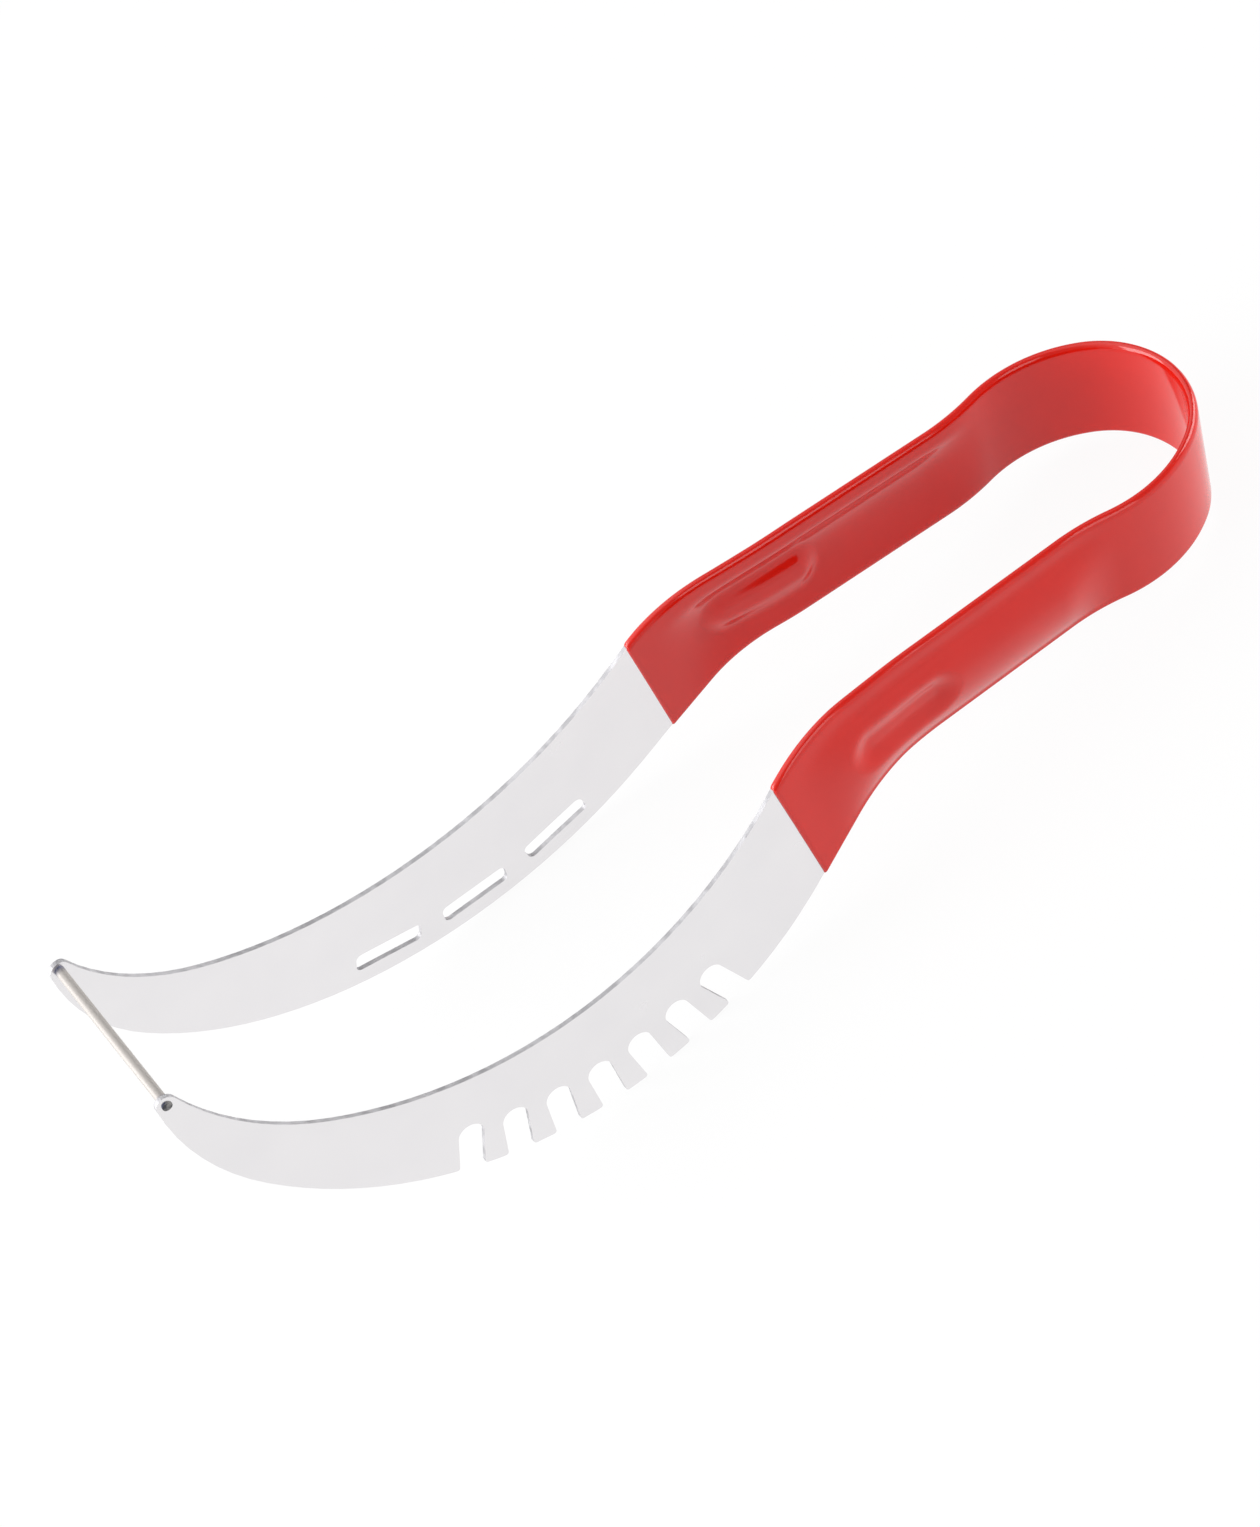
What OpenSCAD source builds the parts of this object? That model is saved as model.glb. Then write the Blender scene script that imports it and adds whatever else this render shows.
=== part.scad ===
// Watermelon slicer with a looped handle.
// One strip of stainless sheet runs from tip to tip: a curved blade, a grip leg,
// the round loop end, the other grip leg and the other blade.
// Both legs lean a little outwards at the bottom, the far blade has slots and the
// near blade has notches. A dip-moulded skin covers the loop and the grip legs.
// Built with the handle along X, then tipped to the attitude it rests in.

/* [Sheet and skin] */
// Thickness of the stainless sheet
sheet_t = 0.9; // [0.7:0.05:1.2]
// Width of the strip in the handle
strip_w = 21.8; // [18:0.1:26]
// Width of the strip at the middle of the loop end
loop_w = 23.1; // [18:0.1:27]
// Skin thickness on the faces of the strip
skin_t = 0.5; // [0.3:0.05:0.9]
// Skin thickness over the edges of the strip
skin_edge = 0.45; // [0.3:0.05:0.9]

/* [Loop and legs, seen from above] */
// Radius of the round loop end
loop_r = 19.6; // [16:0.1:24]
// Turn of the round loop end on each side of the middle
loop_turn = 55; // [40:0.5:75]
// Radius of the shoulders behind it
shoulder_r = 27.8; // [22:0.5:40]
// Angle by which the legs close in behind the loop
pinch = 13.1; // [3:0.5:16]
// Radius of the bend back to the grip
neck_r = 44.2; // [40:1:90]
// Angle at which the grip legs spread
spread = 1.45; // [0:0.1:5]
// Straight length of the grip legs
grip_l = 32.5; // [25:0.5:50]
// Angle at which the legs step out behind the grip
step_out = 6.1; // [3:0.1:14]
// Radius where the legs step out
step_r = 107; // [50:1:200]
// Straight length of the step
step_l = 22.2; // [5:0.5:35]
// Radius where the blades turn back
back_r = 141; // [60:1:250]
// Angle at which the blades set off
blade_out = 2.5; // [-2:0.1:6]
// Radius of the long bow of the blades
bow_r = 785; // [400:5:1200]
// Outward lean of the legs from the step on
lean = 3.3; // [0:0.1:8]
// Where the lean starts
lean_from = 72.6; // [50:0.5:85]
// Where the lean is complete
lean_to = 95.9; // [88:0.5:100]

/* [Outline of a blade, seen from the side] */
// Where the upper edge starts to turn down
top_at = 91.3; // [82:0.1:100]
// Radius of that turn
top_turn_r = 29.8; // [15:0.1:50]
// Angle of that turn
top_turn = 38.3; // [30:0.1:44]
// Straight length behind it
top_run = 0.7; // [0.1:0.1:12]
// Radius of the hollow upper edge
top_r = 82.5; // [60:0.5:110]
// Turn of the hollow upper edge
top_sweep = 70.5; // [40:0.5:85]
// Where the lower edge starts to turn down
low_at = 80.1; // [70:0.1:90]
// Radius of that turn
low_turn_r = 27.6; // [18:0.1:45]
// Angle of that turn
low_turn = 33.6; // [27:0.1:40]
// Straight length behind it
low_run = 16.9; // [2:0.1:25]
// Radius of the belly
low_r = 81.7; // [60:0.5:110]
// Turn of the belly
low_sweep = 86.4; // [50:0.5:100]
// Distance of the rod from the loop end
tip_at = 228.1; // [210:0.1:245]
// Height of the rod above the middle of the handle
tip_z = 23.5; // [10:0.1:35]
// Radius of the rounded tip
tip_r = 1.9; // [1.6:0.05:3]
// Height of the tip circle above the rod
tip_up = 0; // [0:0.1:2]

/* [Rod] */
// Diameter of the rod
rod_d = 1.9; // [1.6:0.1:2.6]
// How far each welded end stands proud of the blade
rod_proud = 0.2; // [0:0.05:0.5]

/* [Slots in the far blade] */
// Number of slots
slot_n = 3; // [1:1:4]
// Length of a slot
slot_l = 14.4; // [10:0.1:16]
// Height of a slot
slot_h = 4; // [3:0.1:5]
// Corner radius of a slot
slot_r = 1.2; // [0.5:0.1:1.5]
// Depth of the slot middles above the belly edge
slot_up = 5.7; // [4.5:0.1:8]
// Angle between slots about the belly centre
slot_pitch = 14.7; // [11:0.1:18]
// Turn of the middle slot from the lowest point
slot_mid = 1.4; // [-6:0.1:10]

/* [Notches in the near blade] */
// Number of notches
notch_n = 7; // [1:1:9]
// Width of a notch
notch_w = 5.1; // [3:0.1:6]
// Height of the notch tops above the belly edge
notch_up = 10.9; // [8:0.1:15]
// Angle between notches about the belly centre
notch_pitch = 6.9; // [5:0.1:9]
// Turn of the middle notch from the lowest point
notch_mid = -3.4; // [-6:0.1:12]
// Change of direction from one notch to the next
notch_fan = 7; // [4:0.1:9]
// Lean of the middle notch
notch_lean = 4.8; // [-8:0.1:8]
// How much higher each notch reaches than the one before it, towards the handle
notch_rise = 0.2; // [0:0.05:0.4]
// Radius of the rounded tooth corners
tooth_r = 0.6; // [0.2:0.1:1]

/* [Grip shape] */
// Where the dip line crosses the upper edge
dip_at = 109.6; // [104:0.1:116]
// Run of the dip line towards the loop at the lower edge
dip_slant = 4.3; // [0:0.1:8]
// Outward bow of the grip across its width
arch = 2.2; // [0:0.1:3]
// Where the bow starts
arch_from = 29.5; // [18:0.5:45]
// Where the bow ends
arch_to = 106; // [98:0.5:109]
// Length over which the bow fades in and out
arch_fade = 15; // [8:0.5:24]
// Share of the half width where the bow is steepest, upper half
arch_bend = 0.65; // [0.4:0.01:0.75]
// Share of the half width where the flat upper edge starts
arch_end = 0.88; // [0.82:0.01:1]
// The same two shares for the lower half
low_bend = 0.9; // [0.4:0.01:0.95]
low_end = 1; // [0.96:0.01:1]
// Distance of the dimple middle from the loop end
dimple_at = 81.3; // [80:0.1:98]
// Length of the oval dimple
dimple_l = 27; // [18:0.5:30]
// Height of the oval dimple
dimple_h = 12; // [8:0.5:14]
// Distance of the dimple middle below the middle of the strip
dimple_down = 1.2; // [0:0.1:3]
// Depth of the dimple, pressed inwards
dimple_d = 1.7; // [0.5:0.1:2]
// Width of the dimple's rounded wall
dimple_wall = 4.2; // [2:0.1:5]
// How much wider the upper wall is, and how much narrower the lower one
dimple_skew = 0.4; // [0:0.1:1.2]

/* [Hidden] */
steel = [0.82, 0.83, 0.84];
red = [0.78, 0.11, 0.10];

// Tangent chains: each piece is [length, turn], a state is [x, y, heading]
function arc_l(r, turn) = r * abs(turn) * PI / 180;
function along(st, seg, f) =
    let (h = st[2], a = seg[1] * f, l = seg[0] * f, r = abs(a) < 1e-7 ? 0 : l / (a * PI / 180))
    r == 0
        ? [st[0] + l * cos(h), st[1] + l * sin(h), h]
        : [st[0] + r * (sin(h + a) - sin(h)), st[1] - r * (cos(h + a) - cos(h)), h + a];
function starts(segs, st, i = 0) =
    i == len(segs) ? [st] : concat([st], starts(segs, along(st, segs[i], 1), i + 1));
function walk(segs, sts, s, i = 0) =
    i < len(segs) - 1 && s > segs[i][0]
        ? walk(segs, sts, s - segs[i][0], i + 1)
        : along(sts[i], segs[i], s / segs[i][0]);
function ramp(a, b, x) = let (f = min(1, max(0, (x - a) / (b - a)))) f * f * (3 - 2 * f);

// Plan of half the strip, middle of the sheet, from the loop end outwards
plan_segs = [
    [arc_l(loop_r, loop_turn), loop_turn],
    [arc_l(shoulder_r, 90 + pinch - loop_turn), 90 + pinch - loop_turn],
    [arc_l(neck_r, pinch + spread), -pinch - spread],
    [grip_l, 0],
    [arc_l(step_r, step_out - spread), spread - step_out],
    [step_l, 0],
    [arc_l(back_r, step_out - blade_out), step_out - blade_out],
    [tip_at - dip_at, (tip_at - dip_at) / bow_r * 180 / PI]
];
plan_sts = starts(plan_segs, [0, 0, 90]);

// Outline of a blade in X and Z: upper and lower edge end on the tip circle
tip_c = [-tip_at, tip_z + tip_up];
function centre_of(st, r) = [st[0] + r * sin(st[2]), st[1] - r * cos(st[2])];
function last_r(st, side) =
    let (d = [st[0], st[1]] - tip_c, n = [sin(st[2]), -cos(st[2])])
    (tip_r * tip_r - d * d) / (2 * (d * n + side * tip_r));
function bearing(from, to) = atan2(to[1] - from[1], to[0] - from[0]);
function last_seg(st, side) =
    let (
        r = last_r(st, side),
        c = centre_of(st, r),
        turn = -((bearing(c, [st[0], st[1]]) - bearing(c, tip_c) + 720) % 360)
    )
    [arc_l(r, turn), turn];
function edge_segs(turn_r, turn, run, r, sweep, st, side) =
    let (a = [[arc_l(turn_r, turn), turn], [run, 0], [arc_l(r, sweep), -sweep]])
    concat(a, [last_seg(starts(a, st)[3], side)]);
function edge_pts(segs, sts, step) = concat(
    [
        for (i = [0:len(segs) - 1], n = [max(1, ceil(segs[i][0] / step))], j = [0:n - 1])
            let (p = along(sts[i], segs[i], j / n)) [p[0], p[1]]
    ],
    [[sts[len(segs)][0], sts[len(segs)][1]]]
);
top_st = [-top_at, strip_w / 2, 180];
low_st = [-low_at, -strip_w / 2, 180];
top_segs = edge_segs(top_turn_r, top_turn, top_run, top_r, top_sweep, top_st, -1);
low_segs = edge_segs(low_turn_r, low_turn, low_run, low_r, low_sweep, low_st, 1);
top_sts = starts(top_segs, top_st);
low_sts = starts(low_segs, low_st);
top_pts = edge_pts(top_segs, top_sts, 4);
low_pts = edge_pts(low_segs, low_sts, 4);
belly_c = centre_of(low_sts[2], low_r);
tip_from = bearing(tip_c, top_pts[len(top_pts) - 1]);
tip_turn = (bearing(tip_c, low_pts[len(low_pts) - 1]) - tip_from + 720) % 360;
tip_pts = [for (i = [1:9]) let (a = tip_from + tip_turn * i / 10) tip_c + tip_r * [cos(a), sin(a)]];
top_tab = [for (p = top_pts) if (p[0] > -dip_at - strip_w / 2) [-p[0], p[1]]];
low_tab = [for (p = low_pts) if (p[0] > -dip_at - strip_w / 2) [-p[0], p[1]]];

// Lean of the legs about a line along X at the height of the handle
leg_y = plan_sts[6][1];
function leaned(p) =
    let (a = lean * ramp(lean_from, lean_to, -p[0]), y = p[1] - leg_y)
    [p[0], leg_y + y * cos(a) - p[2] * sin(a), y * sin(a) + p[2] * cos(a)];

// Skin and sheet inside it, swept round the loop
// v runs across the strip from -1 (lower edge) to 1 (upper edge),
// out is the distance from the middle of the sheet, ext lengthens the section
turn_l = plan_segs[0][0] + plan_segs[1][0] + plan_segs[2][0];
function plan_s(x) = lookup(x, [for (i = [0:150]) let (s = i * dip_at / 100) [-walk(plan_segs, plan_sts, s)[0], s]]);
dip_s = plan_s(dip_at);
bow_in = plan_s(arch_from);
bow_end = plan_s(arch_to);
dim_s = plan_s(dimple_at);
function bow(s) = arch * ramp(bow_in, bow_in + arch_fade, s) * (1 - ramp(bow_end - arch_fade, bow_end, s));
// Share of the bow at v: a parabola up to the bend, then one the other way round to the flat edge
function section(v, bend, end) =
    abs(v) < bend ? 1 - v * v / (bend * end) : pow(max(0, end - abs(v)), 2) / (end * (end - bend));
function dimple(s, z) =
    let (
        half = dimple_l / 2 - dimple_h / 2,
        up = z + dimple_down,
        d = max(0.001, norm([max(0, abs(s - dim_s) - half), up])),
        wall = dimple_wall + dimple_skew * up / d
    )
    dimple_d * (1 - ramp(dimple_h / 2 - wall, dimple_h / 2, d));
function pt(s, v, ext, out) =
    let (
        u = abs(s) - dip_slant * ramp(turn_l, dip_s, abs(s)) * (1 - v) / 2,
        p = walk(plan_segs, plan_sts, u),
        w = (loop_w - strip_w) / 2 * (1 - min(1, u / turn_l)),
        zt = lookup(-p[0], top_tab) + w,
        zb = lookup(-p[0], low_tab) - w,
        z = (zt + zb) / 2 + v * ((zt - zb) / 2 + ext),
        f = v < 0 ? section(v, low_bend, low_end) : section(v, arch_bend, arch_end),
        o = out + bow(abs(s)) * f - dimple(u, z),
        q = leaned([p[0] + o * sin(p[2]), p[1] - o * cos(p[2]), z])
    )
    s < 0 ? [q[0], -q[1], q[2]] : q;
across = [-1, -0.62, -0.52, -0.36, -0.18, 0.15, 0.27, 0.39, 0.82, 1];
n_a = len(across);
bead = sheet_t / 2 + skin_t;
bead_ext = skin_edge - bead;
function sheet_ring(s, k) = concat(
    [for (v = across) pt(s, v * (k < 1 ? 0.97 : 1), 0, k * sheet_t / 2)],
    [for (i = [1:n_a]) pt(s, across[n_a - i] * (k < 1 ? 0.97 : 1), 0, -k * sheet_t / 2)]
);
function skin_ring(s) = concat(
    [for (v = across) pt(s, v, bead_ext, bead)],
    [for (a = [45, 90, 135]) pt(s, 1, bead_ext + bead * sin(a), bead * cos(a))],
    [for (i = [1:n_a]) pt(s, across[n_a - i], bead_ext, -bead)],
    [for (a = [135, 90, 45]) pt(s, -1, bead_ext + bead * sin(a), bead * cos(a))]
);
// Stations from the loop middle to the dip line
ends_in = [for (f = [0, 0.15, 0.25, 0.35, 0.44]) f * dimple_l / 2];
half_s = concat(
    [for (i = [1:12]) i * turn_l / 12],
    [for (i = [1:4]) turn_l + (dim_s - dimple_l / 2 - 2 - turn_l) * i / 4],
    [for (t = ends_in) dim_s - dimple_l / 2 + t],
    [dim_s],
    [for (i = [1:len(ends_in)]) dim_s + dimple_l / 2 - ends_in[len(ends_in) - i]],
    [for (i = [0:3]) dim_s + dimple_l / 2 + 2 + (dip_s - 4 - dim_s - dimple_l / 2 - 2) * i / 3]
);
function both(h) = concat([for (i = [1:len(h)]) -h[len(h) - i]], [0], h);
function quad(a, b, c, d) = [[a, b, c], [a, c, d]];
function flat1(l) = [for (a = l) for (b = a) b];
function tube_faces(n, m, base, flip) = flat1([
    for (i = [0:m - 2], j = [0:n - 1])
        let (
            a = base + i * n + j,
            b = base + i * n + (j + 1) % n,
            c = base + (i + 1) * n + (j + 1) % n,
            d = base + (i + 1) * n + j
        )
        flip ? quad(a, d, c, b) : quad(a, b, c, d)
]);
module sheet_core() {
    st = both(concat(half_s, [dip_s - 1.2]));
    m = len(st);
    n = 2 * n_a;
    pts = flat1([for (s = st) sheet_ring(s, abs(s) > dip_s - 3 ? 0.6 : 1)]);
    ends = flat1([
        for (j = [0:n_a - 2]) let (a = j, b = j + 1, c = n - 2 - j, d = n - 1 - j) concat(
            quad(d, c, b, a),
            [for (t = quad(a, b, c, d)) [for (k = t) (m - 1) * n + k]]
        )
    ]);
    polyhedron(pts, concat(tube_faces(n, m, 0, false), ends), convexity = 8);
}
// Outer and inner points of a skin section that face each other
pairs = concat(
    [for (j = [0:n_a - 1]) [j, j]],
    [[n_a, n_a - 1], [n_a + 1, n_a - 1], [n_a + 1, n_a], [n_a + 2, n_a]],
    [for (j = [0:n_a - 1]) [n_a + 3 + j, n_a + j]],
    [[2 * n_a + 3, 2 * n_a - 1], [2 * n_a + 4, 2 * n_a - 1], [2 * n_a + 4, 0], [2 * n_a + 5, 0]]
);
module skin() {
    st = both(concat(half_s, [dip_s - 2, dip_s]));
    m = len(st);
    n_o = 2 * n_a + 6;
    n_i = 2 * n_a;
    base = m * n_o;
    pts = concat(flat1([for (s = st) skin_ring(s)]), flat1([for (s = st) sheet_ring(s, 1)]));
    ends = flat1([
        for (k = [0:len(pairs) - 1])
            let (
                p = pairs[k],
                q = pairs[(k + 1) % len(pairs)],
                t = concat(
                    p[0] == q[0] ? [] : [[p[0], base + q[1], q[0]]],
                    p[1] == q[1] ? [] : [[p[0], base + p[1], base + q[1]]]
                )
            )
            concat(
                t,
                [for (f = t) [for (i = [2, 1, 0]) f[i] + (f[i] < base ? (m - 1) * n_o : (m - 1) * n_i)]]
            )
    ]);
    polyhedron(
        pts,
        concat(tube_faces(n_o, m, 0, false), tube_faces(n_i, m, base, true), ends),
        convexity = 8
    );
}

// Plan of the blade legs, and prisms of outlines seen from the side
reach = low_r + strip_w;
blade_s = [for (i = [0:24]) turn_l + grip_l + i * (tip_at + 8 - dip_at + dip_s - turn_l - grip_l) / 24];
function beside(s, out) =
    let (p = walk(plan_segs, plan_sts, s))
    [p[0] + out * sin(p[2]), p[1] - out * cos(p[2])];
blade_plan = concat(
    [for (s = blade_s) beside(s, sheet_t / 2)],
    [for (i = [1:len(blade_s)]) beside(blade_s[len(blade_s) - i], -sheet_t / 2)]
);
module seen_from_side() {
    translate([0, leg_y + reach, 0]) rotate([90, 0, 0]) linear_extrude(height = 2 * reach) children();
}
// The blade starts inside the skin, along a line parallel to the dip line
cut_x = dip_at - 2.5;
blade_outline = concat(
    [[-cut_x, lookup(cut_x, top_tab)]],
    [for (p = top_pts) if (p[0] < -cut_x) p],
    tip_pts,
    [for (i = [1:len(low_pts)]) let (p = low_pts[len(low_pts) - i]) if (p[0] < -cut_x + dip_slant) p],
    [[-cut_x + dip_slant, lookup(cut_x - dip_slant, low_tab)]]
);
module slots() {
    for (i = [0:slot_n - 1]) {
        a = slot_mid + (i - (slot_n - 1) / 2) * slot_pitch;
        translate(belly_c) rotate(a) translate([0, slot_up - low_r]) {
            square([slot_l, slot_h - 2 * slot_r], center = true);
            square([slot_l - 2 * slot_r, slot_h], center = true);
            for (u = [-1, 1], v = [-1, 1])
                translate([u * (slot_l / 2 - slot_r), v * (slot_h / 2 - slot_r)])
                    circle(r = slot_r, $fn = 24);
        }
    }
}
function corner_y(c, r, x) = c[1] - sqrt(r * r - (x - c[0]) * (x - c[0]));
// Rounds one tooth corner; c is the belly centre as seen from the top of the notch
module tooth_corner(c, side) {
    edge = side * notch_w / 2;
    mid = [edge + side * tooth_r, corner_y(c, low_r - tooth_r, edge + side * tooth_r)];
    foot = c + (mid - c) * (low_r + 0.2) / (low_r - tooth_r);
    difference() {
        polygon([[edge - side * 0.2, mid[1]], [edge - side * 0.2, corner_y(c, low_r + 1, edge)], foot, mid]);
        translate(mid) circle(r = tooth_r, $fn = 24);
    }
}
module notches() {
    for (i = [0:notch_n - 1]) {
        k = i - (notch_n - 1) / 2;
        a = notch_mid + k * notch_pitch;
        turn = notch_lean + k * notch_fan;
        up = (low_r - notch_up - k * notch_rise) * [sin(a), -cos(a)];
        c = -[up * [cos(turn), sin(turn)], up * [-sin(turn), cos(turn)]];
        translate(belly_c + up) rotate(turn) {
            translate([0, -notch_w / 2]) circle(d = notch_w, $fn = 40);
            translate([-notch_w / 2, -low_r]) square([notch_w, low_r - notch_w / 2]);
            for (side = [-1, 1]) tooth_corner(c, side);
        }
    }
}
tip_y = lookup(tip_at, [for (i = [0:70]) let (p = walk(plan_segs, plan_sts, dip_s + i * tip_at / 100)) [-p[0], p[1]]]);
rod_at = let (y = tip_y - leg_y) [leg_y + y * cos(lean) - tip_z * sin(lean), y * sin(lean) + tip_z * cos(lean)];
module rod(extra, d) {
    l = 2 * (rod_at[0] + sheet_t / 2 + extra);
    translate([-tip_at, l / 2, rod_at[1]]) rotate([90, 0, 0]) cylinder(h = l, d = d, $fn = 48);
}
// One blade as on the far leg; its holes come as children, seen from the side
module blade() {
    translate([0, leg_y, 0]) rotate([lean, 0, 0]) translate([0, -leg_y, 0])
        difference() {
            intersection() {
                translate([0, 0, -reach]) linear_extrude(height = 2 * reach) polygon(blade_plan);
                seen_from_side() polygon(blade_outline);
            }
            seen_from_side() children();
        }
}

// Attitude at rest: on the loop end's lower bead and on both bellies
bead_c = [0, -loop_w / 2 - bead_ext];
rest_d = bead_c - [belly_c[0], belly_c[1] * cos(lean)];
rest = atan2(rest_d[1], rest_d[0]) - asin((bead - low_r * cos(lean)) / norm(rest_d));
low_turned = [for (p = low_pts) p[0] * cos(rest) + p[1] * sin(rest)];
x_max = (loop_w / 2 + bead_ext) * sin(rest) + bead;
x_shift = -(x_max + min(low_turned)) / 2;
z_shift = bead - bead_c[1] * cos(rest);
module at_rest() {
    translate([x_shift, 0, z_shift]) rotate([0, rest, 0]) children();
}

module blade_strip() {
    color(steel) at_rest() difference() {
        union() {
            sheet_core();
            blade() slots();
            mirror([0, 1, 0]) blade() notches();
        }
        rod(rod_d, rod_d);
    }
}
module grip_coating() {
    color(red) at_rest() skin();
}
module cross_rod() {
    color(steel) at_rest() rod(rod_proud, rod_d);
}

blade_strip();
grip_coating();
cross_rod();
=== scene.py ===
# %% [markdown]
# # A watermelon slicer with a dipped grip
# The slicer is one bent strip of stainless sheet. It starts at one blade tip,
# runs through a grip leg, round the loop end and back to the other tip. A glossy
# red plastic skin covers the grip, and a thin rod is welded between the two tips.
#
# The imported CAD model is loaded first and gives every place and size. The strip
# and the rod are already right in it, so they only get a finish. The skin is what
# the light runs over, so it is made again here on a finer and smoother grid. All
# lengths of the slicer are typed in millimetres and turned into metres at the end.

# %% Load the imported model
import math

import bpy
import numpy as np
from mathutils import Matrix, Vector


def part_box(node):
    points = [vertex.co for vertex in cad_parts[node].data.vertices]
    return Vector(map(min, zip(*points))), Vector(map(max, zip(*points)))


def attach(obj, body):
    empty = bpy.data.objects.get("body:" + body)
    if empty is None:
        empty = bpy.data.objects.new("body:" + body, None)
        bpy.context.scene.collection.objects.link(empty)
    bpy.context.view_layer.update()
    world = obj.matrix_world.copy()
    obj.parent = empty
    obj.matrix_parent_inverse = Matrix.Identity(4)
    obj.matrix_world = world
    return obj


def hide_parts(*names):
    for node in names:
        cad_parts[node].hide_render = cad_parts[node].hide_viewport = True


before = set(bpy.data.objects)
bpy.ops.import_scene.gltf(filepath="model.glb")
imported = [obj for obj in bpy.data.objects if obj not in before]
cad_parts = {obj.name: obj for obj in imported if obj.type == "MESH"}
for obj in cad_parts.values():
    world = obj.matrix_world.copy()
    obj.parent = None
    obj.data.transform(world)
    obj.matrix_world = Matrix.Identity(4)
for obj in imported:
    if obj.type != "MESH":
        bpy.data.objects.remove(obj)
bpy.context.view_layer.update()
MM = 0.001

# %% [markdown]
# ## Colours
# A colour picked from a picture is in sRGB, while a shader works in linear light.
# Blender's colour field converts a typed hex value by itself, but a script has to
# do it, so one function does it for every material here.


# %% One function for colours
def colour(hex_text):
    """Linear colour of a hex one: c / 12.92 when dark, else ((c + 0.055) / 1.055) ^ 2.4."""
    c = np.array([int(hex_text[i : i + 2], 16) / 255 for i in (1, 3, 5)])
    linear = np.where(c <= 0.04045, c / 12.92, ((c + 0.055) / 1.055) ** 2.4)
    return (*linear, 1.0)


print("middle grey is", round(float(colour("#808080")[0]), 3), "in linear light")

# %% [markdown]
# ## From a grid of points to a mesh
# The skin is a ring that goes all round the grip, and its section is a ring too.
# Its points are worked out as a grid of rows and columns that closes on itself
# both ways, like a doughnut, so no edge is left open. The corners of each face go
# round in the order that turns its front outwards.


# %% Two functions for meshes
def ring_faces(rows, columns):
    """Each face joins point (i, j) to the next ones, i + 1 and j + 1, counted round a ring."""
    i, j = np.arange(rows)[:, None], np.arange(columns)[None, :]
    i2, j2 = (i + 1) % rows, (j + 1) % columns
    corners = [i * columns + j, i2 * columns + j, i2 * columns + j2, i * columns + j2]
    return np.stack(corners, -1).reshape(-1, len(corners))


def add_piece(name, points, faces, material):
    """Makes a smooth mesh piece from points in metres and puts it into the scene."""
    mesh = bpy.data.meshes.new(name)
    mesh.from_pydata(points.reshape(-1, 3), [], faces)
    mesh.polygons.foreach_set("use_smooth", np.ones(len(mesh.polygons), bool))
    mesh.materials.append(material)
    mesh.validate()
    piece = bpy.data.objects.new(name, mesh)
    bpy.context.scene.collection.objects.link(piece)
    print(name, "has", len(mesh.polygons), "faces")
    return piece


# %% [markdown]
# ## The line of the strip, seen from above
# A press brake bends sheet in clean arcs. The line could be drawn as a spline, but
# a spline through a few points wavers between them, and gloss shows each waver.
# So the line is a chain of arcs and straights that run on from each other without
# a kink. Each part of the chain is a length and a turn in degrees.


# %% Chains of arcs and straights
def arc(radius, turn):
    """An arc as (length, turn): the length is the radius times the turn in radians."""
    return radius * math.radians(abs(turn)), turn


def step(x, y, heading, curvature, distance):
    """Point and heading a distance along an arc.

    The chord is the distance times sin(half) / half, where half is half of the turn so
    far, and it points half a turn on from the heading at the arc's start.
    """
    half = curvature * distance / 2
    chord = distance * np.sinc(half / math.pi)
    middle = np.radians(heading) + half
    new_heading = heading + 2 * np.degrees(half)
    return x + chord * np.cos(middle), y + chord * np.sin(middle), new_heading


def chain(start, parts):
    """Rows of start distance, x, y, heading and curvature; curvature is turn over length."""
    x, y, heading = start
    rows, s = [], 0.0
    for length, turn in parts:
        rows.append((s, x, y, heading, math.radians(turn) / length))
        x, y, heading = (float(v) for v in step(*rows[-1][1:], length))
        s += length
    return np.array(rows)


def walk(rows, s):
    """Points and headings at distances s along a chain, each stepped from its part's start."""
    k = np.clip(np.searchsorted(rows[:, 0], s, side="right") - 1, 0, len(rows) - 1)
    start_s, x, y, heading, curvature = np.moveaxis(rows[k], -1, 0)
    return step(x, y, heading, curvature, s - start_s)


quarter_end = walk(chain((0, 0, 0), [arc(10, 90)]), 10 * math.pi / 2)
print("a quarter circle of radius 10 ends at", [round(float(c), 2) for c in quarter_end])

# %% [markdown]
# The chain starts in the middle of the loop end and follows one half of the strip.
# It goes round the loop, closes in over the shoulder, bends back to the straight
# grip, and steps out to the long bowed blade. The other half is its mirror image.

# %% The strip's own line
LOOP_R, LOOP_TURN = 19.6, 55
SHOULDER_R, PINCH = 27.8, 13.1
NECK_R, SPREAD = 44.2, 1.45
GRIP_L = 32.5
STEP_R, STEP_OUT, STEP_L = 107, 6.1, 22.2
BACK_R, BLADE_OUT = 141, 2.5
BOW_R, BOW_L = 785, 140
plan = chain(
    (0, 0, 90),
    [
        arc(LOOP_R, LOOP_TURN),
        arc(SHOULDER_R, 90 + PINCH - LOOP_TURN),
        arc(NECK_R, -PINCH - SPREAD),
        (GRIP_L, 0),
        arc(STEP_R, SPREAD - STEP_OUT),
        (STEP_L, 0),
        arc(BACK_R, STEP_OUT - BLADE_OUT),
        (BOW_L, math.degrees(BOW_L / BOW_R)),
    ],
)
GRIP_PART, BACK_PART = 3, 6
turn_end = plan[GRIP_PART, 0]
leg_y = plan[BACK_PART, 2]
print("bends end", round(turn_end, 2), "mm round from the middle; legs lie at", round(leg_y, 2))

# %% [markdown]
# ## The width of the strip, seen from the side
# Along the grip the strip has one even width. Near the dip line both edges turn
# down into the blade, each by an arc of its own, so they are chains too. A chain
# gives points by distance along itself, but the skin asks for a height at a
# distance from the loop end, so the height is read off a fine table of points.

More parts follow.
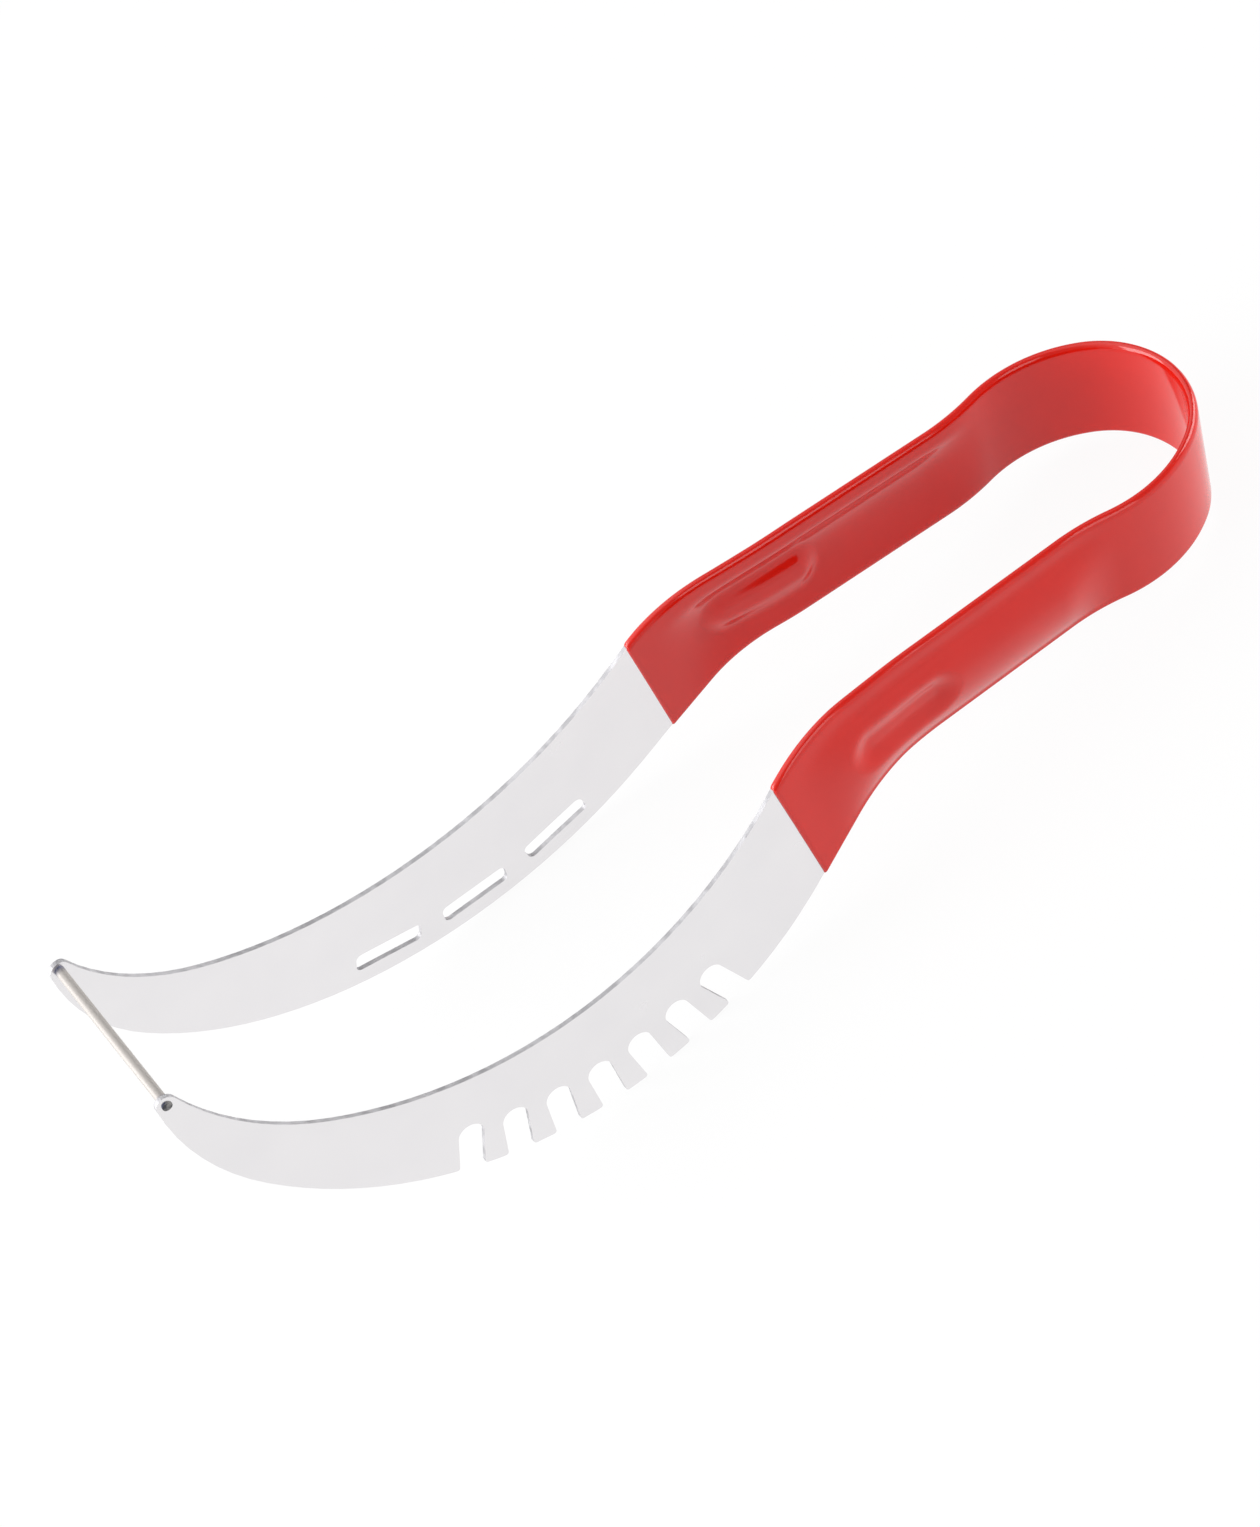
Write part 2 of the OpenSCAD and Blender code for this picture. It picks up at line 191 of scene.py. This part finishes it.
# %% Upper and lower edge
STRIP_W, LOOP_W = 21.8, 23.1
TOP_AT, TOP_TURN_R, TOP_TURN, TOP_RUN, TOP_R, TOP_SWEEP = 91.3, 29.8, 38.3, 0.7, 82.5, 70.5
LOW_AT, LOW_TURN_R, LOW_TURN, LOW_RUN, LOW_R, LOW_SWEEP = 80.1, 27.6, 33.6, 16.9, 81.7, 86.4
EDGE_REACH, EDGE_PITCH = 60, 0.2
upper = chain(
    (-TOP_AT, STRIP_W / 2, 180),
    [arc(TOP_TURN_R, TOP_TURN), (TOP_RUN, 0), arc(TOP_R, -TOP_SWEEP)],
)
lower = chain(
    (-LOW_AT, -STRIP_W / 2, 180),
    [arc(LOW_TURN_R, LOW_TURN), (LOW_RUN, 0), arc(LOW_R, -LOW_SWEEP)],
)


def edge_height(rows, x):
    """Height of an edge at distance x from the loop end: even up to the chain, then its points."""
    ex, ez, _ = walk(rows, np.arange(0, EDGE_REACH, EDGE_PITCH))
    return np.interp(x, np.append(0, -ex), np.append(rows[0, 2], ez))


DIP_AT, DIP_SLANT = 109.6, 4.3
dip_width = edge_height(upper, DIP_AT) - edge_height(lower, DIP_AT)
print("the strip is", round(float(dip_width), 2), "mm wide at the dip line")

# %% [markdown]
# ## The form of the grip
# The strip is pressed before it is dipped. Its face bows outwards across the
# width, which stiffens it and fills the hand, and an oval dimple in each leg takes
# the thumb. Both could be sculpted on a dense mesh, but then their size would be
# in no number. Here each is a smooth function of the place on the strip, which
# says how far the surface lies from the strip's middle line.


# %% Bow across the grip
def ramp(a, b, x):
    """Rises smoothly from 0 at a to 1 at b, as 3 f^2 - 2 f^3 of the share f between them."""
    f = np.clip((x - a) / (b - a), 0, 1)
    return f * f * (3 - 2 * f)


LEG_REACH, LEG_PITCH = 80, 0.25
ARCH, ARCH_FROM, ARCH_TO, ARCH_FADE = 2.2, 29.5, 106, 15
UPPER_BEND, UPPER_END = 0.65, 0.88
LOWER_BEND, LOWER_END = 0.9, 1.0
DIMPLE_AT = 81.3
leg_s = np.arange(0, turn_end + LEG_REACH, LEG_PITCH)
leg_x = -walk(plan, leg_s)[0]
dip_s, arch_a, arch_b, dimple_s = np.interp([DIP_AT, ARCH_FROM, ARCH_TO, DIMPLE_AT], leg_x, leg_s)


def bow(s):
    """Outward bow at distance s: the arch, faded in over the shoulder and out at the dip line."""
    fade_in = ramp(arch_a, arch_a + ARCH_FADE, s)
    fade_out = ramp(arch_b - ARCH_FADE, arch_b, s)
    return ARCH * fade_in * (1 - fade_out)


def section(v):
    """Share of the bow at v, which runs from -1 at the lower edge to 1 at the upper one.

    It is 1 - v^2 / (bend end) up to the bend, and (end - v)^2 / (end (end - bend)) past it.
    """
    bend = np.where(v < 0, LOWER_BEND, UPPER_BEND)
    end = np.where(v < 0, LOWER_END, UPPER_END)
    past_bend = np.maximum(0, end - abs(v)) ** 2 / (end * (end - bend))
    return np.where(abs(v) < bend, 1 - v * v / (bend * end), past_bend)


print("the dip line lies", round(float(dip_s), 2), "mm along the strip")

# %% Thumb dimple
DIMPLE_L, DIMPLE_H, DIMPLE_D = 27, 12, 1.7
DIMPLE_DOWN, DIMPLE_WALL = 1.2, 5.2


def dimple(s, z):
    """Depth of the oval dimple at distance s and height z.

    The distance is taken to the oval's spine, a short line along its middle. The depth
    is whole near the spine and ramps to nothing over the wall, up to half the height.
    """
    past_spine = np.maximum(0, abs(s - dimple_s) - (DIMPLE_L - DIMPLE_H) / 2)
    distance = np.hypot(past_spine, z + DIMPLE_DOWN)
    return DIMPLE_D * (1 - ramp(DIMPLE_H / 2 - DIMPLE_WALL, DIMPLE_H / 2, distance))


print("the dimple is", float(dimple(dimple_s, -DIMPLE_DOWN)), "mm deep in its middle")

# %% [markdown]
# ## The skin's surface
# The surface has two parameters, the distance s along the strip and the place v
# across it. The dip line is slanted, so towards it the lower points of a station
# are set back more and more. In front of the grip's middle, both legs also lean in
# a little at the top, towards each other.

# %% One point of the surface
LEAN, LEAN_FROM, LEAN_TO = 3.3, 72.6, 95.9


def strip_point(s, v, extra, out):
    """Point at distance s and share v of the half width.

    It lies extra past the edge and out from the middle line: the line's point, plus out
    and bow less dimple along the line's normal, turned about the leg by the lean.
    """
    u = abs(s) - DIP_SLANT * ramp(turn_end, dip_s, abs(s)) * (1 - v) / 2
    x, y, heading = walk(plan, u)
    wider = (LOOP_W - STRIP_W) / 2 * (1 - np.minimum(1, u / turn_end))
    top = edge_height(upper, -x) + wider
    bottom = edge_height(lower, -x) - wider
    z = (top + bottom) / 2 + v * ((top - bottom) / 2 + extra)
    away = out + bow(abs(s)) * section(v) - dimple(u, z)
    normal = np.radians(heading)
    x, y = x + away * np.sin(normal), y - away * np.cos(normal)
    lean = np.radians(LEAN) * ramp(LEAN_FROM, LEAN_TO, -x)
    leaned_y = leg_y + (y - leg_y) * np.cos(lean) - z * np.sin(lean)
    leaned_z = (y - leg_y) * np.sin(lean) + z * np.cos(lean)
    return np.stack([x, np.where(s < 0, -leaned_y, leaned_y), leaned_z], -1)


halfway = strip_point(np.full(1, dip_s / 2), np.zeros(1), 0, 0)[0]
print("halfway along the skin, the strip's middle is at", [round(float(c), 2) for c in halfway])

# %% [markdown]
# The chains are laid out with the handle level. A real slicer rests on its loop end
# and on the bellies of both blades, which tips it a little. One function turns and
# shifts handle points to where the CAD model lies, and gives metres.

# %% From the handle to the resting part
# The CAD source works out these three numbers from the same lengths.
REST_TURN, SHIFT_X, SHIFT_Z = math.radians(10.167), 109.999, 11.8265


def at_rest(p):
    """Turns points about Y by the rest angle, shifts them along X and Z, and gives metres."""
    x, y, z = p[..., 0], p[..., 1], p[..., 2]
    turned = [
        x * np.cos(REST_TURN) + z * np.sin(REST_TURN) + SHIFT_X,
        y,
        z * np.cos(REST_TURN) - x * np.sin(REST_TURN) + SHIFT_Z,
    ]
    return np.stack(turned, -1) * MM


loop_end = at_rest(strip_point(np.zeros(1), np.zeros(1), 0, 0))[0]
print("the strip's middle at the loop end:", [round(float(c) / MM, 2) for c in loop_end], "mm")

# %% [markdown]
# ## Materials
# Each finish is a node network that ends in one Principled shader. A value that is
# the same all over the surface sits on the shader's own socket, and only what
# varies is linked. Patterns read Object coordinates, which are in metres and need
# no unwrapping, so a pattern that repeats every d millimetres has a scale of
# 1 / (d MM). One function adds any node, sets it up and links it.


# %% One function to add a node
def add_node(owner, kind, at, inputs=None, stops=(), **settings):
    """Adds a node at a point of the node editor, with its settings and links.

    An input, by name or number, is linked when its value is a socket and set otherwise.
    Stops are a colour ramp's (position, hex colour): its two ends first, then the rest.
    """
    node = owner.node_tree.nodes.new(kind)
    node.location = at
    for name, value in settings.items():
        setattr(node, name, value)
    for slot, value in (inputs or {}).items():
        if isinstance(value, bpy.types.NodeSocket):
            owner.node_tree.links.new(value, node.inputs[slot])
        else:
            node.inputs[slot].default_value = value
    for k, (position, tone) in enumerate(stops):
        tones = node.color_ramp.elements
        stop = tones[k] if k < 2 else tones.new(position)
        stop.position, stop.color = position, colour(tone)
    return node


def new_material(name):
    """A material with an empty node network."""
    material = bpy.data.materials.new(name)
    material.use_nodes = True
    material.node_tree.nodes.clear()
    print("material", name)
    return material


# %% [markdown]
# ## Dipped plastic skin
# The heated grip is dipped into liquid vinyl, which clings to it, runs a little and
# sets. That leaves a closed glossy skin with no mould lines. To the eye it is one
# strong red with sharp highlights, very slight waves a finger's width apart, and
# patches where the gloss and the tone are a shade softer. The waves could be put
# into the mesh, but at 0.15 mm they only bend reflections, which a bump does too.

# %% Waves, gloss and tone of the skin
WAVE, WAVE_HEIGHT, WAVE_SHARE = 14, 0.15, 0.12
PATCH, GLOSS_FROM, GLOSS_TO = 9, 0.09, 0.15
skin_mat = new_material("glossy_dipped_plastic")
object_xyz = add_node(skin_mat, "ShaderNodeTexCoord", (-1200, 0)).outputs["Object"]
waves = add_node(
    skin_mat,
    "ShaderNodeTexNoise",
    (-900, -300),
    {"Vector": object_xyz, "Scale": 1 / (WAVE * MM), "Detail": 2},
)
bump = add_node(
    skin_mat,
    "ShaderNodeBump",
    (-300, -300),
    {"Height": waves.outputs["Fac"], "Strength": WAVE_SHARE, "Distance": WAVE_HEIGHT * MM},
)
patches = add_node(
    skin_mat,
    "ShaderNodeTexNoise",
    (-900, 200),
    {"Vector": object_xyz, "Scale": 1 / (PATCH * MM), "Detail": 3},
).outputs["Fac"]
gloss = add_node(
    skin_mat,
    "ShaderNodeMapRange",
    (-600, 200),
    {"Value": patches, "To Min": GLOSS_FROM, "To Max": GLOSS_TO},
)
red = add_node(
    skin_mat,
    "ShaderNodeValToRGB",
    (-600, 500),
    {"Fac": patches},
    stops=[(0.0, "#CB160A"), (1.0, "#D31C0E")],
)

# %% Shader of the skin
# Vinyl is no metal, and its IOR of 1.47 gives pale glints at a flat angle only.
skin_shader = add_node(
    skin_mat,
    "ShaderNodeBsdfPrincipled",
    (0, 0),
    {
        "Base Color": red.outputs["Color"],
        "Metallic": 0.0,
        "Roughness": gloss.outputs["Result"],
        "IOR": 1.47,
        "Normal": bump.outputs["Normal"],
    },
)
add_node(
    skin_mat, "ShaderNodeOutputMaterial", (300, 0), {"Surface": skin_shader.outputs["BSDF"]}
)
print("waves", WAVE, "mm and patches", PATCH, "mm wide, roughness", GLOSS_FROM, "to", GLOSS_TO)

# %% [markdown]
# ## Polished stainless sheet
# The strip is stamped from rolled stainless sheet. Its faces have a soft, hazy
# polish: pale, a little cloudy, with blurred reflections. Its edges are sheared and
# stay duller and greyer, with a mottled grain, so each blade is outlined with a
# fine line. The two could be separate materials on separate faces, but the CAD
# mesh keeps its one slot. Outside the skin the strip's faces look nearly sideways,
# along Y, and its cut edges don't, so the mesh's own normal tells them apart.

# %% Haze of the polished faces
HAZE, POLISH_FROM, POLISH_TO = 12, 0.22, 0.30
sheet_mat = new_material("polished_stainless_sheet")
object_xyz = add_node(sheet_mat, "ShaderNodeTexCoord", (-1200, 0)).outputs["Object"]
haze = add_node(
    sheet_mat,
    "ShaderNodeTexNoise",
    (-900, 200),
    {"Vector": object_xyz, "Scale": 1 / (HAZE * MM), "Detail": 4},
).outputs["Fac"]
polish = add_node(
    sheet_mat,
    "ShaderNodeMapRange",
    (-600, 200),
    {"Value": haze, "To Min": POLISH_FROM, "To Max": POLISH_TO},
)
face_tone = add_node(
    sheet_mat,
    "ShaderNodeValToRGB",
    (-600, 500),
    {"Fac": haze},
    stops=[(0.0, "#E6E4E6"), (1.0, "#EEECED")],
)
print("haze", HAZE, "mm wide")

# %% Mask and grain of the cut edges
# The two limits are cosines: a surface that looks less than 37 degrees off Y is a
# face, and past 60 degrees it is a cut edge. The real grain of a sheared edge is
# finer than a picture shows, so it is drawn 2.5 mm long.
CUT_GRAIN = 2.5
CUT_BELOW, FACE_ABOVE = 0.5, 0.8
side_on = add_node(sheet_mat, "ShaderNodeNewGeometry", (-1200, 900)).outputs["True Normal"]
normal_axes = add_node(sheet_mat, "ShaderNodeSeparateXYZ", (-1000, 900), {"Vector": side_on})
sideways = add_node(
    sheet_mat,
    "ShaderNodeMath",
    (-800, 900),
    {0: normal_axes.outputs["Y"]},
    operation="ABSOLUTE",
)
is_face = add_node(
    sheet_mat,
    "ShaderNodeMapRange",
    (-600, 900),
    {"Value": sideways.outputs[0], "From Min": CUT_BELOW, "From Max": FACE_ABOVE},
).outputs["Result"]
grain = add_node(
    sheet_mat,
    "ShaderNodeTexNoise",
    (-900, 700),
    {"Vector": object_xyz, "Scale": 1 / (CUT_GRAIN * MM), "Detail": 3},
)
cut_tone = add_node(
    sheet_mat,
    "ShaderNodeValToRGB",
    (-600, 700),
    {"Fac": grain.outputs["Fac"]},
    stops=[(0.38, "#9E9DA0"), (0.58, "#B7B6B9")],
)
print("cut edges have grain", CUT_GRAIN, "mm long")

# %% Shader of the sheet
# Each mix takes its A on a cut edge and its B on a face.
CUT_ROUGHNESS, CUT_METALLIC, FACE_METALLIC = 0.55, 0.4, 1.0
sheet_tone = add_node(
    sheet_mat,
    "ShaderNodeMix",
    (-300, 500),
    {"Factor": is_face, "A": cut_tone.outputs["Color"], "B": face_tone.outputs["Color"]},
    data_type="RGBA",
)
sheet_rough = add_node(
    sheet_mat,
    "ShaderNodeMix",
    (-300, 200),
    {"Factor": is_face, "A": CUT_ROUGHNESS, "B": polish.outputs["Result"]},
)
sheet_metal = add_node(
    sheet_mat,
    "ShaderNodeMix",
    (-300, -100),
    {"Factor": is_face, "A": CUT_METALLIC, "B": FACE_METALLIC},
)
sheet_shader = add_node(
    sheet_mat,
    "ShaderNodeBsdfPrincipled",
    (0, 0),
    {
        "Base Color": sheet_tone.outputs["Result"],
        "Metallic": sheet_metal.outputs["Result"],
        "Roughness": sheet_rough.outputs["Result"],
    },
)
add_node(
    sheet_mat, "ShaderNodeOutputMaterial", (300, 0), {"Surface": sheet_shader.outputs["BSDF"]}
)
print("roughness", POLISH_FROM, "to", POLISH_TO, "on faces and", CUT_ROUGHNESS, "on cut edges")

# %% [markdown]
# ## Drawn stainless rod
# The rod is cut from drawn stainless wire, which is satin and a little warm in
# tone. Welding its ends to the tips tints the last millimetres: straw, then blue,
# then nearly black where the metal was hottest, with dull spots of scale. The tint
# could be painted on, but it only depends on how far a point is from the weld, so
# it is a colour ramp over the distance from the rod's middle, along Y.

# %% Heat tint of the rod
TINT_L = 2.5
rod_mat = new_material("drawn_stainless_rod")
object_xyz = add_node(rod_mat, "ShaderNodeTexCoord", (-1200, 0)).outputs["Object"]
rod_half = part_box("cross_rod")[1].y
axes = add_node(rod_mat, "ShaderNodeSeparateXYZ", (-900, 300), {"Vector": object_xyz})
from_middle = add_node(
    rod_mat, "ShaderNodeMath", (-700, 300), {0: axes.outputs["Y"]}, operation="ABSOLUTE"
)
near_weld = add_node(
    rod_mat,
    "ShaderNodeMapRange",
    (-500, 300),
    {"Value": from_middle.outputs[0], "From Min": rod_half - TINT_L * MM, "From Max": rod_half},
).outputs["Result"]
tint = add_node(
    rod_mat,
    "ShaderNodeValToRGB",
    (-300, 300),
    {"Fac": near_weld},
    stops=[(0.0, "#ABA6A2"), (1.0, "#34353D"), (0.4, "#85838A"), (0.66, "#40548E")],
)
print("the rod is", round(2 * rod_half / MM, 2), "mm long")

# %% Scale at the welds and shader of the rod
SCALE_SPOT = 1.1
spots = add_node(
    rod_mat,
    "ShaderNodeTexNoise",
    (-900, -100),
    {"Vector": object_xyz, "Scale": 1 / (SCALE_SPOT * MM), "Detail": 3},
)
spot_share = add_node(
    rod_mat,
    "ShaderNodeValToRGB",
    (-600, -100),
    {"Fac": spots.outputs["Fac"]},
    stops=[(0.42, "#000000"), (0.62, "#FFFFFF")],
)
scale_share = add_node(
    rod_mat,
    "ShaderNodeMath",
    (-300, 0),
    {0: near_weld, 1: spot_share.outputs["Color"]},
    operation="MULTIPLY",
)
rod_tone = add_node(
    rod_mat,
    "ShaderNodeMix",
    (0, 300),
    {"Factor": scale_share.outputs[0], "A": tint.outputs["Color"], "B": colour("#8D8B89")},
    data_type="RGBA",
)
rod_shader = add_node(
    rod_mat,
    "ShaderNodeBsdfPrincipled",
    (300, 0),
    {"Base Color": rod_tone.outputs["Result"], "Metallic": 0.35, "Roughness": 0.55},
)
add_node(rod_mat, "ShaderNodeOutputMaterial", (600, 0), {"Surface": rod_shader.outputs["BSDF"]})
print("spots of scale", SCALE_SPOT, "mm wide")

# %% [markdown]
# ## Finishes on the strip and the rod
# Both keep their CAD meshes, because their shapes are already exact there. A new
# material goes into the mesh's slot, and nothing is moved.

# %% Put on the finishes
for node_name, material in (("blade_strip", sheet_mat), ("cross_rod", rod_mat)):
    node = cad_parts[node_name]
    node.data.materials.clear()
    node.data.materials.append(material)
    print(node_name, "is", material.name)

# %% [markdown]
# ## The skin, round its section
# Dip moulding leaves an even wall on both faces of the strip and rounds its edges.
# The section is two faces joined by a bead at each edge. A bead is half an
# ellipse, long on the upper edge, where its highlight is wide. On the lower edge it
# is a half circle, because a longer one would let the steel through. Solidify could
# thicken a sheet, but its rim would be flat. The rows across a face crowd towards
# the edges, where the surface turns.

# %% Points round the section
SHEET_T, SKIN_T, SKIN_EDGE = 0.9, 0.5, 0.45
UPPER_BEAD, LOWER_BEAD = 1.6, 0.95
FACE_ROWS, BEAD_ROWS = 57, 11
half_sheet = SHEET_T / 2
face_v = np.sin(np.linspace(-1, 1, FACE_ROWS) * math.pi / 2)
bead_turn = np.radians(np.linspace(0, 180, BEAD_ROWS + 2)[1:-1])
flat = np.zeros(FACE_ROWS)
side_v = np.concatenate([face_v, np.ones(BEAD_ROWS), face_v[::-1], -np.ones(BEAD_ROWS)])
side_sin = np.concatenate([flat, np.sin(bead_turn), flat, np.sin(bead_turn)])
side_cos = np.concatenate([flat + 1, np.cos(bead_turn), flat - 1, np.cos(bead_turn[::-1])])
bead_length = np.where(side_v < 0, LOWER_BEAD, UPPER_BEAD)
print("the section has", len(side_v), "points")

# %% [markdown]
# ## The skin, along the strip
# The rows go along the outside of the skin from one dip line to the other, round
# the lip there by a quarter circle, come back close on the sheet with no thickness
# left, and round the other lip. So the skin is one sealed wall round the steel.

# %% Stations along the strip
ALONG, BACK, LIP_ROWS = 501, 81, 6
lip_turn = np.radians(np.linspace(0, 90, LIP_ROWS + 1)[1:])
lip_step = SKIN_T * (1 - np.sin(lip_turn))
lip_thick = SKIN_T * np.cos(lip_turn)
outside = np.linspace(-1, 1, ALONG) * (dip_s - SKIN_T)
inside = np.linspace(1, -1, BACK)[1:] * dip_s
stations = np.concatenate([outside, dip_s - lip_step, inside, -dip_s + lip_step[::-1][:-1]])
thick = np.concatenate(
    [np.full(ALONG, SKIN_T), lip_thick, np.zeros(BACK - 1), lip_thick[::-1][:-1]]
)
print("there are", len(stations), "stations, about", round(2 * dip_s / ALONG, 2), "mm apart")

# %% Build the skin
half_thick = half_sheet + thick[:, None]
bead_reach = half_sheet + (bead_length - half_sheet) * thick[:, None] / SKIN_T
edge_reach = thick[:, None] * SKIN_EDGE / SKIN_T - bead_reach
skin_points = strip_point(
    np.broadcast_to(stations[:, None], (len(stations), len(side_v))),
    side_v[None, :],
    edge_reach + bead_reach * side_sin,
    half_thick * side_cos,
)
skin_faces = ring_faces(len(stations), len(side_v))
skin = add_piece("grip_skin", at_rest(skin_points), skin_faces, skin_mat)
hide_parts("grip_coating")
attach(skin, "root")

# %% [markdown]
# ## Camera
# The camera stands where the photograph was taken from. Its place and turn were
# worked out from the slicer's own edges, and the lens is a long one, so the two
# blades look nearly parallel. Places are in metres from here on.

# %% Camera
CAMERA_AT = (-0.07292, -0.44175, 0.59766)
CAMERA_TURN = (33.1974, 20.8681, -36.4537)
LENS = 95.07
camera_data = bpy.data.cameras.new("camera")
camera = bpy.data.objects.new("camera", camera_data)
bpy.context.scene.collection.objects.link(camera)
camera.location = CAMERA_AT
camera.rotation_euler = [math.radians(a) for a in CAMERA_TURN]
camera_data.lens = LENS
camera_data.clip_start = 0.01
bpy.context.scene.camera = camera
print("the camera is", round(math.hypot(*CAMERA_AT), 3), "m away")

# %% [markdown]
# ## Floor
# A product is shot on a white sweep. Lighting a floor until it is white would also
# wash out the slicer, so most of its white comes from a glow that only the camera
# and glossy reflections see. The rest is matte and takes the slicer's soft shadow.

# %% Floor
FLOOR_HALF, GLOW_SHARE = 6, 0.92
floor_mat = new_material("white_floor")
matte = add_node(
    floor_mat,
    "ShaderNodeBsdfPrincipled",
    (0, 300),
    {"Base Color": colour("#F4F4F4"), "Metallic": 0.0, "Roughness": 0.9},
)
glow = add_node(floor_mat, "ShaderNodeEmission", (-300, -300), {"Strength": 1.0})
ray = add_node(floor_mat, "ShaderNodeLightPath", (-900, -300))
either = add_node(
    floor_mat,
    "ShaderNodeMath",
    (-700, -300),
    {0: ray.outputs["Is Camera Ray"], 1: ray.outputs["Is Glossy Ray"]},
    operation="MAXIMUM",
)
share = add_node(
    floor_mat,
    "ShaderNodeMath",
    (-500, -300),
    {0: either.outputs[0], 1: GLOW_SHARE},
    operation="MULTIPLY",
)
floor_shader = add_node(
    floor_mat,
    "ShaderNodeMixShader",
    (300, 0),
    {"Fac": share.outputs[0], 1: matte.outputs["BSDF"], 2: glow.outputs["Emission"]},
)
add_node(
    floor_mat, "ShaderNodeOutputMaterial", (600, 0), {"Surface": floor_shader.outputs["Shader"]}
)
floor_corners = np.array([[-1, -1, 0], [1, -1, 0], [1, 1, 0], [-1, 1, 0]]) * FLOOR_HALF
floor = add_piece("floor", floor_corners, [(0, 1, 2, 3)], floor_mat)

# %% [markdown]
# ## Soft light all round
# The world lights every side evenly and weakly. Gloss shows what is around it, and
# an even world would leave the skin flat, so reflections see a world that is dark
# on one side and rises to bright on the other, as a studio with one big window
# does. The camera sees plain white behind the floor.

# %% World
SOFT_SKY, BACKDROP = 0.37, 1.0
WINDOW_WAY = (-0.6, 0.5, 0.6)
WINDOW_FROM, WINDOW_TO, WINDOW_DARK, WINDOW_BRIGHT = 0.1, 0.9, 0.3, 1.7
world = bpy.data.worlds.new("studio")
bpy.context.scene.world = world
world.use_nodes = True
world.node_tree.nodes.clear()
way = add_node(world, "ShaderNodeTexCoord", (-1100, 0)).outputs["Generated"]
toward = add_node(
    world, "ShaderNodeVectorMath", (-900, 0), {0: way, 1: WINDOW_WAY}, operation="DOT_PRODUCT"
)
window = add_node(
    world,
    "ShaderNodeMapRange",
    (-700, 0),
    {
        "Value": toward.outputs["Value"],
        "From Min": WINDOW_FROM,
        "From Max": WINDOW_TO,
        "To Min": WINDOW_DARK,
        "To Max": WINDOW_BRIGHT,
    },
    interpolation_type="SMOOTHSTEP",
)
ray = add_node(world, "ShaderNodeLightPath", (-700, 300))
level = add_node(
    world,
    "ShaderNodeMix",
    (-400, 0),
    {"Factor": ray.outputs["Is Glossy Ray"], "A": SOFT_SKY, "B": window.outputs["Result"]},
)
backdrop = add_node(
    world,
    "ShaderNodeMix",
    (-200, 0),
    {"Factor": ray.outputs["Is Camera Ray"], "A": level.outputs["Result"], "B": BACKDROP},
)
sky = add_node(
    world,
    "ShaderNodeBackground",
    (0, 0),
    {"Color": colour("#FFFFFF"), "Strength": backdrop.outputs["Result"]},
)
add_node(world, "ShaderNodeOutputWorld", (300, 0), {"Surface": sky.outputs["Background"]})
print("world strength", SOFT_SKY, "on the slicer,", BACKDROP, "behind it")

# %% [markdown]
# ## Lamps
# Four square soft lamps stand round the slicer, as softboxes do. One hangs above.
# The left one stands beyond the blade tips and lights the inside of the loop end,
# and the right one, beyond the loop end, lights its outside. A weak one in front
# lights the sides that look to the front. Small lamps would give hard shadows and
# sharp spots on the gloss, so all four are large.


# %% Lamps
def add_lamp(name, at, target, size, watts):
    """A square lamp facing its target: tipped by the angle from straight down, then turned."""
    data = bpy.data.lights.new(name, "AREA")
    data.size = size
    data.energy = watts
    lamp = bpy.data.objects.new(name, data)
    bpy.context.scene.collection.objects.link(lamp)
    lamp.location = at
    x, y, z = np.array(target) - np.array(at)
    lamp.rotation_euler = (math.atan2(math.hypot(x, y), -z), 0, math.atan2(y, x) - math.pi / 2)
    print(name, "gives", watts, "W")


# name, place, target, size, watts
add_lamp("lamp_above", (-0.1, 0.1, 1.2), (0, 0, 0), 1.6, 4)
add_lamp("lamp_left", (-1.1, 0.3, 0.5), (0, 0, 0.03), 1.0, 20)
add_lamp("lamp_right", (1.2, -0.05, 0.3), (0, 0, 0.03), 0.8, 12)
add_lamp("lamp_front", (0.2, -1.2, 0.3), (0.05, 0, 0.03), 0.6, 2.6)

# %% [markdown]
# ## Finish
# The view transform stays plain so that a colour shows as it is written.

# %% Finish
bpy.context.scene.view_settings.view_transform = "Standard"
